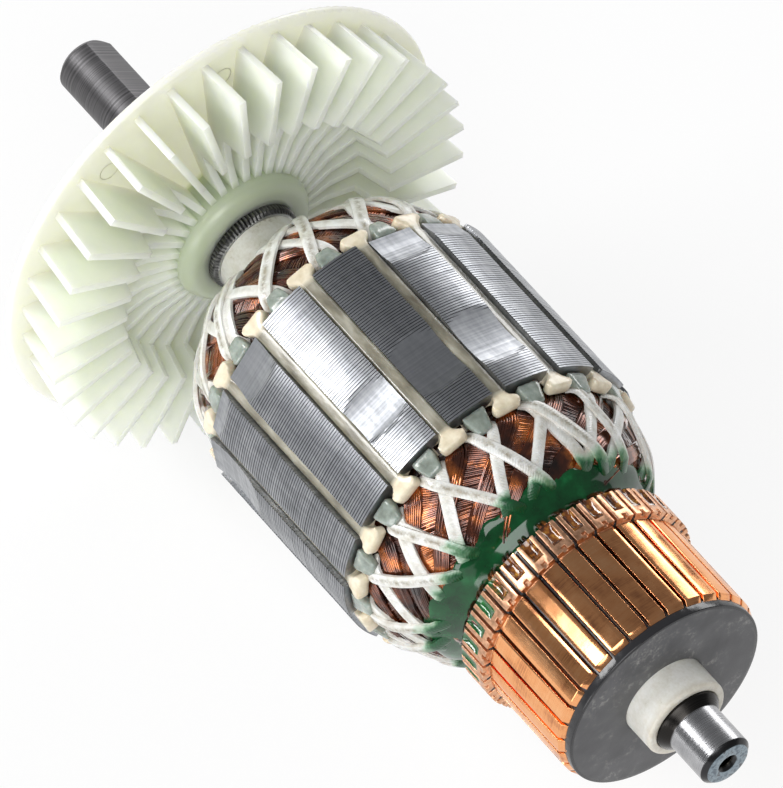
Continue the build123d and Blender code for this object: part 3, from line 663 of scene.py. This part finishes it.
def flatten_bar(vertex):
    """Moves a vertex of a bar's turned top towards one plane for each bar."""
    x, y, z = vertex.co / MM
    radius = math.hypot(y, z)
    top = TRACK_RADIUS + (RISER_STEP if x < RISER_FRONT + 0.01 else 0.0)
    if abs(radius - top) > 0.05:
        return
    angle = math.degrees(math.atan2(z, y))
    bar = math.floor((angle - BAR_PHASE) / BAR_ANGLE)
    centre = BAR_PHASE + BAR_ANGLE * (bar + 0.5)
    off = math.radians(angle - centre)
    edge = top * math.cos(math.radians(BAR_ANGLE / 2) - BAR_GAP / 2 / top)
    level = edge + BAR_FLATNESS * (radius * math.cos(off) - edge)
    vertex.co = beside(x, level, radius * math.sin(off), centre) * MM


def refined(node, material, bevel, corner_angle=30.0, reshape=None):
    """A copy of a node with its corners rounded, which stands for that node."""
    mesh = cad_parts[node].data.copy()
    tidy = bmesh.new()
    tidy.from_mesh(mesh)
    bmesh.ops.remove_doubles(tidy, verts=tidy.verts, dist=0.002 * MM)
    if reshape:
        for vertex in tidy.verts:
            reshape(vertex)
    bmesh.ops.dissolve_limit(tidy, angle_limit=math.radians(0.5), verts=tidy.verts, edges=tidy.edges)
    corners = [
        edge for edge in tidy.edges
        if len(edge.link_faces) == 2 and edge.calc_face_angle(0.0) > math.radians(corner_angle)
    ]
    bmesh.ops.bevel(tidy, geom=corners, offset=bevel * MM, offset_type="OFFSET", segments=2, profile=0.5,
                    affect="EDGES", clamp_overlap=True)
    tidy.to_mesh(mesh)
    tidy.free()
    return finish_piece(node + "_finish", mesh, material, (node,), smooth_angle=35.0)


def softened(node, material, voxel, passes):
    """A copy of a node with an even mesh, smoothed as a thick coat of varnish leaves it."""
    shape = bpy.data.objects.new(node + "_shape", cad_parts[node].data.copy())
    bpy.context.scene.collection.objects.link(shape)
    even = shape.modifiers.new("even", "REMESH")
    even.mode = "VOXEL"
    even.voxel_size = voxel * MM
    smooth = shape.modifiers.new("smooth", "SMOOTH")
    smooth.factor = 0.5
    smooth.iterations = passes
    evaluated = shape.evaluated_get(bpy.context.evaluated_depsgraph_get())
    mesh = bpy.data.meshes.new_from_object(evaluated)
    bpy.data.objects.remove(shape)
    return finish_piece(node + "_finish", mesh, material, (node,), smooth_angle=180.0)


def make_laminations():
    """The stack as single sheets: thin grooves between them, small steps, and milled balance cuts."""
    count = round((CORE_FRONT - CORE_BACK) / SHEET)
    pitch = (CORE_FRONT - CORE_BACK) / count
    tooth_half = SLOT_ANGLE / 2 - math.degrees(math.asin(SLOT_OPENING / 2 / CORE_RADIUS))
    top_points = 12
    half_pitch = math.radians(SLOT_ANGLE / 2)

    def slot_half(radius):
        return radius * math.tan(half_pitch) - TOOTH_WIDTH / 2 / math.cos(half_pitch)

    slot_side = [
        (TIP_ROOT, SLOT_OPENING / 2),
        (SLOT_SHOULDER, slot_half(SLOT_SHOULDER)),
        (SLOT_FLOOR, slot_half(SLOT_FLOOR)),
    ]
    slot = [(r, -t) for r, t in slot_side] + [(r, t) for r, t in reversed(slot_side)]

    def cut_radius(x, tooth, offset):
        """Radius of a tooth's top, which a round cutter has lowered where the tooth has a balance cut."""
        radius = CORE_RADIUS
        for cut_tooth, distance, half_length, depth in BALANCE_CUTS:
            if cut_tooth != tooth:
                continue
            cutter = (half_length ** 2 + depth ** 2) / (2 * depth)
            away = x - (CORE_FRONT - distance)
            if abs(away) < half_length:
                level = CORE_RADIUS - depth + cutter - math.sqrt(cutter ** 2 - away ** 2)
                radius = min(radius, level / math.cos(math.radians(offset)))
        return radius

    builder = Builder()
    loops = []
    for i in range(count):
        low = CORE_BACK + pitch * i
        jitter = rng.uniform(-0.05, 0.05)
        lift = rng.uniform(-0.03, 0.0)
        # near edge and far edge of the sheet, and the groove behind it
        for x, sunk in ((low + 0.05, 0.0), (low + pitch - 0.07, 0.0), (low + pitch - 0.01, SHEET_GROOVE)):
            points = []
            for tooth in range(SLOT_COUNT):
                centre = FIRST_TOOTH_ANGLE + SLOT_ANGLE * tooth
                for j in range(top_points):
                    offset = -tooth_half + 2 * tooth_half * j / (top_points - 1)
                    radius = min(CORE_RADIUS + lift - sunk, cut_radius(x, tooth + 1, offset))
                    points.append(polar(x, radius, centre + offset + jitter))
                for radius, tangential in slot:
                    turn = math.degrees(math.atan2(tangential, radius))
                    reach = math.hypot(radius, tangential) - sunk * 0.3
                    points.append(polar(x, reach, centre + SLOT_ANGLE / 2 + turn + jitter))
            if i == count - 1 and sunk:
                continue
            loops.append(builder.loop(points))
    builder.skin(loops)
    return builder.piece("core_sheets", "core", "core_steel", ("lamination_stack",), smooth_angle=28.0)


def dome(shape, height):
    """Radius of the end winding at a height above the face of the core."""
    foot, reach = shape
    return foot + (WINDING_RADIUS - foot) * math.sqrt(max(0.0, 1 - (height / reach) ** 2))


def over_dome(face, outward, shape, height, angle, lift):
    """Point and outward normal on the end winding."""
    step = 0.05
    slope = (dome(shape, height + step) - dome(shape, height - step)) / (2 * step)
    normal = polar(-slope * outward, 1.0, angle).normalized()
    return polar(face + outward * height, dome(shape, height), angle) + normal * lift, normal


def circle(radius, sides):
    angles = [2 * math.pi * i / sides for i in range(sides)]
    return [(radius * math.cos(a), radius * math.sin(a)) for a in angles]


def make_wires(name, face, outward, shape, top):
    """Enamelled wires that run out of each slot over the end winding, in bundles that cross in two layers."""
    builder = Builder()
    stations = 20
    layers = (
        # sense, height above the dome, wires in a bundle, half its spread, its turn, how uneven it is
        (-1, 0.18, 17, 10.9, 74.0, 0.0),
        (1, 0.66, 9, 5.6, 62.0, 1.0),
    )
    for sense, lift, wires, spread, turn, scatter in layers:
        for slot in range(SLOT_COUNT):
            centre = SLOT_PHASE + slot * SLOT_ANGLE
            bundle_turn = turn + scatter * rng.uniform(-6.0, 6.0)
            bundle_power = 1.4 + scatter * rng.uniform(-0.15, 0.2)
            for wire in range(wires):
                share = wire / (wires - 1) - 0.5
                width = spread * (1.0 + scatter * rng.uniform(-0.05, 0.05))
                wire_lift = lift + rng.uniform(-0.05, 0.07) - 1.0 * abs(share) ** 3
                sway = rng.uniform(-0.35, 0.35)
                path, normals = [], []
                # from deep in the slot, where the bundle has half its width, up over the dome
                for i in range(stations):
                    t = i / (stations - 1)
                    height = WIRE_START + (top - WIRE_START) * t ** 0.85
                    fan = 1.0 - 0.5 * (1.0 - min(1.0, t * 5.0)) ** 2 - scatter * 0.15 * t
                    angle = centre + sense * bundle_turn * t ** bundle_power
                    angle += width * share * 2 * fan + sway * math.sin(math.pi * t)
                    sink = 0.6 * (1 - t) ** 5
                    point, normal = over_dome(face, outward, shape, height, angle, wire_lift - sink)
                    path.append(point)
                    normals.append(normal)
                builder.sweep(path, normals, circle(WIRE_RADIUS, 6))
    return builder.piece(name, "wire", "enamelled_wire", (), smooth_angle=60.0)


def make_lacing(name, node, face, outward, shape, end_height, sink_height):
    """Flat braided cords that cross over the end winding from both sides of each nub, in two layers."""
    builder = Builder()
    uvs = []
    sides = 12
    stations = 26
    families = (
        # layer, sense, start beside a tooth's middle, turn, how far cords gather in pairs, teeth to the next
        (0, 1, -3.5, 27.0, 3.0, 1),
        (1, -1, 5.5, 24.0, 5.0, 1),
        (0, -1, 3.0, 15.0, 2.0, 3),
    )
    for layer, sense, start_angle, turn_angle, bunch, step in families:
        for k in range(0, SLOT_COUNT, step):
            width = 1.0 + rng.uniform(-0.12, 0.14)
            thickness = 0.42 + rng.uniform(-0.05, 0.06)
            first = TOOTH_PHASE + k * SLOT_ANGLE + start_angle + rng.uniform(-1.2, 1.2)
            turn = turn_angle + rng.uniform(-4.0, 4.0)
            bow = rng.uniform(-1.5, 1.5)
            wave = rng.uniform(0, 6.28)
            section = []
            for c, s in circle(1.0, sides):
                squared = 1.0 + CORD_FULLNESS * abs(2 * c * s)
                section.append((width * c * squared, thickness * s * squared))
            turn += bunch if k % 2 else -bunch
            begin = polar(CORD_START, dome(shape, CORD_START), first)
            finish = polar(end_height, dome(shape, end_height), first + sense * turn)
            path, normals = [], []
            # taut over the dome along a straight line seen from outside, with both ends drawn in
            for i in range(stations):
                t = i / (stations - 1)
                straight = begin.lerp(finish, t)
                height = straight.x
                angle = math.degrees(math.atan2(straight.z, straight.y)) + bow * math.sin(math.pi * t)
                lift = CORD_LIFT + layer * CORD_STACK + 0.12 * math.sin(11.0 * t + wave)
                lift -= 1.3 * (1 - min(1.0, t * 7)) ** 2
                past = min(1.0, max(0.0, height - sink_height) / CORD_EASE)
                lift -= (0.85 + layer * 0.5) * past
                point, normal = over_dome(face, outward, shape, height, angle, lift)
                path.append(point)
                normals.append(normal)
            scales = [1.0 - 0.25 * (1 - min(1.0, 5 * i / (stations - 1))) for i in range(stations)]
            builder.sweep(path, normals, section, scales)
            length = rng.uniform(0, 0.6) + layer * DIRTY_CORD_OFFSET
            for i in range(stations):
                if i:
                    length += (path[i] - path[i - 1]).length
                for u, v in section:
                    uvs.append((u / width / (1.0 + CORD_FULLNESS) * 0.5 + 0.5, length))
    return builder.piece(name, "lacing", "lacing_cord", (node,), smooth_angle=50.0, uvs=uvs)


def make_resin():
    """Ring of green resin, smooth and uneven, running out over the front of the end winding."""
    builder = Builder()
    turns = 240
    front = RISER_BACK - 0.05
    wave_counts = (2, 3, 5, 8, 13, 16, 23, 31)
    waves = [(n, rng.uniform(0, 360), rng.uniform(0.3, 1.0) / n ** 0.45) for n in wave_counts]
    shares = [0.0, 0.05, 0.12, 0.2, 0.3, 0.4, 0.5, 0.6, 0.7, 0.8, 0.88, 0.94, 0.98, 1.0]
    loops = []
    for share in shares:
        points = []
        for i in range(turns):
            angle = 360.0 * i / turns
            wave = sum(a * math.sin(math.radians(n * angle + phase)) for n, phase, a in waves)
            slump = RESIN_SLUMP * math.exp(-((angle - RESIN_SLUMP_ANGLE) / RESIN_SLUMP_SPREAD) ** 2)
            reach = RESIN_REACH + 0.6 * wave + slump
            away = reach * share
            x = front - away
            height = min(x - FRONT_FACE, FRONT_WINDING_LENGTH)
            under = dome(FRONT_DOME, height)
            thick = RESIN_THICKNESS * (1 - share ** 4) ** 0.5
            thick += 0.14 * math.sin(math.radians(5 * angle + 90 * share))
            neck = RESIN_NECK_RADIUS + 0.2 * math.sin(math.radians(7 * angle))
            neck -= RESIN_NECK_DIP * math.sin(math.pi * min(1.0, away / RESIN_NECK_LENGTH))
            rise = min(1.0, away / RESIN_RISE)
            rise = rise * rise * (3 - 2 * rise)
            radius = (1 - rise) * neck + rise * (under + 0.65 + thick)
            if share == 1.0:
                radius = under + 0.1
            points.append(polar(x, radius, angle))
        loops.append(builder.loop(points))
    bore = SLEEVE_RADIUS + 0.1
    inner = builder.loop([polar(front - 3.3, bore, 360.0 * i / turns) for i in range(turns)])
    root = builder.loop([polar(front, bore, 360.0 * i / turns) for i in range(turns)])
    builder.skin([root] + loops + [inner], round_and_back=True)
    return builder.piece("neck_resin_flow", "resin", "green_resin", ("neck_resin",), smooth_angle=60.0)


def make_bush():
    """Bush with a straight knurl and turned ends."""
    builder = Builder()
    points_per_tooth = 4
    steps = KNURL_TEETH * points_per_tooth
    inner = BUSH_RADIUS - BUSH_WALL

    def ring(x, radius, knurled):
        depth = KNURL_DEPTH if knurled else 0.0
        dips = [depth * (1 - math.cos(2 * math.pi * i / points_per_tooth)) / 2 for i in range(steps)]
        return builder.loop([polar(x, radius - dip, 360.0 * i / steps) for i, dip in enumerate(dips)])

    loops = [
        ring(BUSH_FRONT, inner, False),
        ring(BUSH_FRONT, BUSH_RADIUS - BUSH_CHAMFER - 0.2, False),
        ring(BUSH_FRONT - BUSH_CHAMFER, BUSH_RADIUS - 0.15, True),
        ring(BUSH_FRONT - BUSH_CHAMFER - 0.25, BUSH_RADIUS, True),
        ring(DISC_BACK + 0.3, BUSH_RADIUS, True),
        ring(DISC_BACK, BUSH_RADIUS - 0.3, False),
        ring(DISC_BACK, inner, False),
    ]
    builder.skin(loops, round_and_back=True)
    return builder.piece("fan_bush_knurl", "bush", "bush_steel", ("fan_bush",), smooth_angle=30.0)


def make_pocket_varnish():
    """Varnish in each riser pocket, with a hollow top that climbs the walls."""
    builder = Builder()
    across_steps, along_steps = 6, 7
    front = RISER_FRONT - RISER_LIP - VARNISH_GAP
    back = RISER_BACK + VARNISH_GAP
    top = TRACK_RADIUS + RISER_STEP
    floor = top - POCKET_DEPTH + VARNISH_GAP
    for bar in range(BAR_COUNT):
        centre = BAR_PHASE + BAR_ANGLE * (bar + 0.5)
        sag = rng.uniform(0.35, 0.6)
        grid = []
        for i in range(along_steps + 1):
            row = []
            for j in range(across_steps + 1):
                u, v = 2 * i / along_steps - 1, 2 * j / across_steps - 1
                x = (front + back) / 2 + (front - back) / 2 * u
                side = (POCKET_WIDTH / 2 - VARNISH_GAP) * v
                level = top - 0.12 - sag * (1 - u ** 4) * (1 - v ** 4)
                row.append((x, level, side))
            grid.append(row)
        tops = [builder.loop([beside(x, level, side, centre) for x, level, side in row]) for row in grid]
        lows = [builder.loop([beside(x, floor, side, centre) for x, level, side in row]) for row in grid]
        for i in range(along_steps):
            for j in range(across_steps):
                builder.faces.append((tops[i][j], tops[i + 1][j], tops[i + 1][j + 1], tops[i][j + 1]))
                builder.faces.append((lows[i][j], lows[i][j + 1], lows[i + 1][j + 1], lows[i + 1][j]))
        for i in range(along_steps):
            for j, turned in ((0, False), (across_steps, True)):
                face = (tops[i][j], lows[i][j], lows[i + 1][j], tops[i + 1][j])
                builder.faces.append(tuple(reversed(face)) if turned else face)
        for j in range(across_steps):
            for i, turned in ((0, True), (along_steps, False)):
                face = (tops[i][j], lows[i][j], lows[i][j + 1], tops[i][j + 1])
                builder.faces.append(tuple(reversed(face)) if turned else face)
    return builder.piece("pocket_varnish", "varnish", "amber_varnish", ("riser_pocket_fill",),
                         smooth_angle=60.0)


def make_wire_ends():
    """Bright ends of the lead wires that stand out behind each riser pocket."""
    builder = Builder()
    # along from the back of the riser, and down from the top of the lead
    bends = ((2.6, 0.35), (1.2, 0.2), (0.2, 0.0), (-0.7, 0.25), (-1.5, 1.0), (-2.2, 2.2))
    for bar in range(BAR_COUNT):
        centre = BAR_PHASE + BAR_ANGLE * (bar + 0.5)
        for side in (-0.42, 0.42):
            theta = centre + math.degrees((side + rng.uniform(-0.08, 0.08)) / TRACK_RADIUS)
            level = TRACK_RADIUS + RISER_STEP - 0.75 + rng.uniform(-0.1, 0.1)
            path = [polar(RISER_BACK + along, level - down, theta) for along, down in bends]
            normals = [polar(0.0, 1.0, theta)] * len(path)
            builder.sweep(path, normals, circle(LEAD_RADIUS, 8))
    return builder.piece("lead_wire_ends", "wire", "enamelled_wire", (), smooth_angle=60.0)


def make_fan_marks():
    """Ejector marks on the face of the fan's disc, as low rings between blades."""
    builder = Builder()
    for k in range(MARK_COUNT):
        angle = BLADE_PHASE + 360.0 / BLADE_COUNT * (BLADE_COUNT // MARK_COUNT * k + 0.5)
        centre = polar(DISC_FRONT, MARK_CIRCLE, angle)
        out = polar(0.0, 1.0, angle)
        side = Vector((1, 0, 0)).cross(out)
        loops = []
        for radius, lift in ((1.75, -0.05), (1.70, 0.05), (1.60, 0.05), (1.55, -0.05)):
            raised = centre + Vector((lift, 0, 0))
            loops.append(builder.loop([raised + out * u + side * v for u, v in circle(radius, 24)]))
        builder.skin(loops, round_and_back=True)
    return builder.piece("fan_ejector_marks", "mark", "fan_plastic", (), smooth_angle=40.0)


def dress(node, material):
    """Gives its material to a CAD node that is shown as it is."""
    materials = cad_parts[node].data.materials
    materials.clear()
    materials.append(MATERIALS[material])


make_laminations()
refined("shaft", "shaft", bevel=0.12)
refined("shaft_sleeve", "sleeve", bevel=0.15)
refined("commutator_bars", "copper", bevel=0.07, reshape=flatten_bar)
refined("commutator_moulding", "phenolic", bevel=0.25, corner_angle=60.0)
softened("end_insulator_commutator_side", "nub", voxel=0.28, passes=22)
softened("end_insulator_fan_side", "nub", voxel=0.28, passes=22)
softened("slot_wedges", "wedge", voxel=0.38, passes=7)
refined("fan", "fan", bevel=0.2)
make_wires("wires_commutator_end", FRONT_FACE, 1, FRONT_DOME, top=14.5)
make_wires("wires_fan_end", REAR_FACE, -1, REAR_DOME, top=13.9)
make_lacing("lacing_commutator_end_braid", "lacing_commutator_end", FRONT_FACE, 1, FRONT_DOME,
            end_height=14.3, sink_height=11.6)
make_lacing("lacing_fan_end_braid", "lacing_fan_end", REAR_FACE, -1, REAR_DOME,
            end_height=13.9, sink_height=13.0)
make_resin()
make_bush()
make_pocket_varnish()
make_wire_ends()
make_fan_marks()

dress("slot_liners", "liner")
for number in range(1, SLOT_COUNT + 1):
    dress(f"coil_{number:02d}", "base")


# Stage, light and camera

def make_floor():
    """Wide floor just below the lowest point of the fan."""
    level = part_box("fan")[0][2] - 0.5 * MM
    mesh = bpy.data.meshes.new("floor")
    corners = [(x * FLOOR_HALF, y * FLOOR_HALF, level) for x, y in ((-1, -1), (1, -1), (1, 1), (-1, 1))]
    mesh.from_pydata(corners, [], [(0, 1, 2, 3)])
    mesh.materials.append(floor_white())
    floor = bpy.data.objects.new("floor", mesh)
    bpy.context.scene.collection.objects.link(floor)


def add_softbox(name, direction, distance, size, watts):
    """Area lamp aimed at the middle of the armature, with the first of its sizes along the shaft."""
    lamp = bpy.data.lights.new(name, "AREA")
    lamp.shape = "RECTANGLE"
    lamp.size, lamp.size_y = size
    lamp.energy = watts
    box = bpy.data.objects.new(name, lamp)
    bpy.context.scene.collection.objects.link(box)
    back = Vector(direction).normalized()
    along = (Vector((1.0, 0.0, 0.0)) - back * back.x).normalized()
    box.location = Vector(LIGHT_AIM) + back * distance
    box.rotation_mode = "QUATERNION"
    box.rotation_quaternion = Matrix((along, back.cross(along), back)).transposed().to_quaternion()


def make_lights():
    world = bpy.data.worlds.new("studio")
    bpy.context.scene.world = world
    world.use_nodes = True
    nodes, links = world.node_tree.nodes, world.node_tree.links
    background = nodes["Background"]
    background.inputs["Color"].default_value = (0.95, 0.97, 1.0, 1.0)
    path = nodes.new("ShaderNodeLightPath")
    seen = nodes.new("ShaderNodeMath")
    seen.operation = "MULTIPLY_ADD"
    links.new(path.outputs["Is Camera Ray"], seen.inputs[0])
    seen.inputs[1].default_value = 1.0 - ROOM_LIGHT
    seen.inputs[2].default_value = ROOM_LIGHT
    links.new(seen.outputs[0], background.inputs["Strength"])
    add_softbox("key", (-0.49, -0.644, 0.586), distance=0.9, size=(0.62, 0.26), watts=6.0)
    add_softbox("right", (-0.4, 0.85, 0.30), distance=0.9, size=(0.8, 0.30), watts=4.0)
    add_softbox("fill", (0.62, -0.45, 0.75), distance=1.3, size=(0.9, 0.7), watts=9.0)
    add_softbox("low_left", (0.3, -0.9, 0.1), distance=1.0, size=(0.7, 0.25), watts=2.5)


def make_camera():
    azimuth, elevation = math.radians(VIEW_AZIMUTH), math.radians(VIEW_ELEVATION)
    back = Vector((math.sin(azimuth) * math.cos(elevation), -math.cos(azimuth) * math.cos(elevation),
                   math.sin(elevation)))
    right = Vector((math.cos(azimuth), math.sin(azimuth), 0.0))
    up = back.cross(right)
    across, down, away = BAR_FRONT_IN_VIEW
    data = bpy.data.cameras.new("camera")
    data.sensor_width = SENSOR
    data.lens = FOCAL_PIXELS / max(IMAGE_WIDTH, IMAGE_HEIGHT) * SENSOR
    data.clip_start, data.clip_end = 0.1, 20.0
    camera = bpy.data.objects.new("camera", data)
    bpy.context.scene.collection.objects.link(camera)
    camera.location = (Vector((BAR_FRONT, 0, 0)) - right * across + up * down + back * away) * MM
    camera.rotation_mode = "QUATERNION"
    camera.rotation_quaternion = Matrix((right, up, back)).transposed().to_quaternion()
    bpy.context.scene.camera = camera


make_floor()
make_lights()
make_camera()
bpy.context.scene.view_settings.view_transform = "Standard"
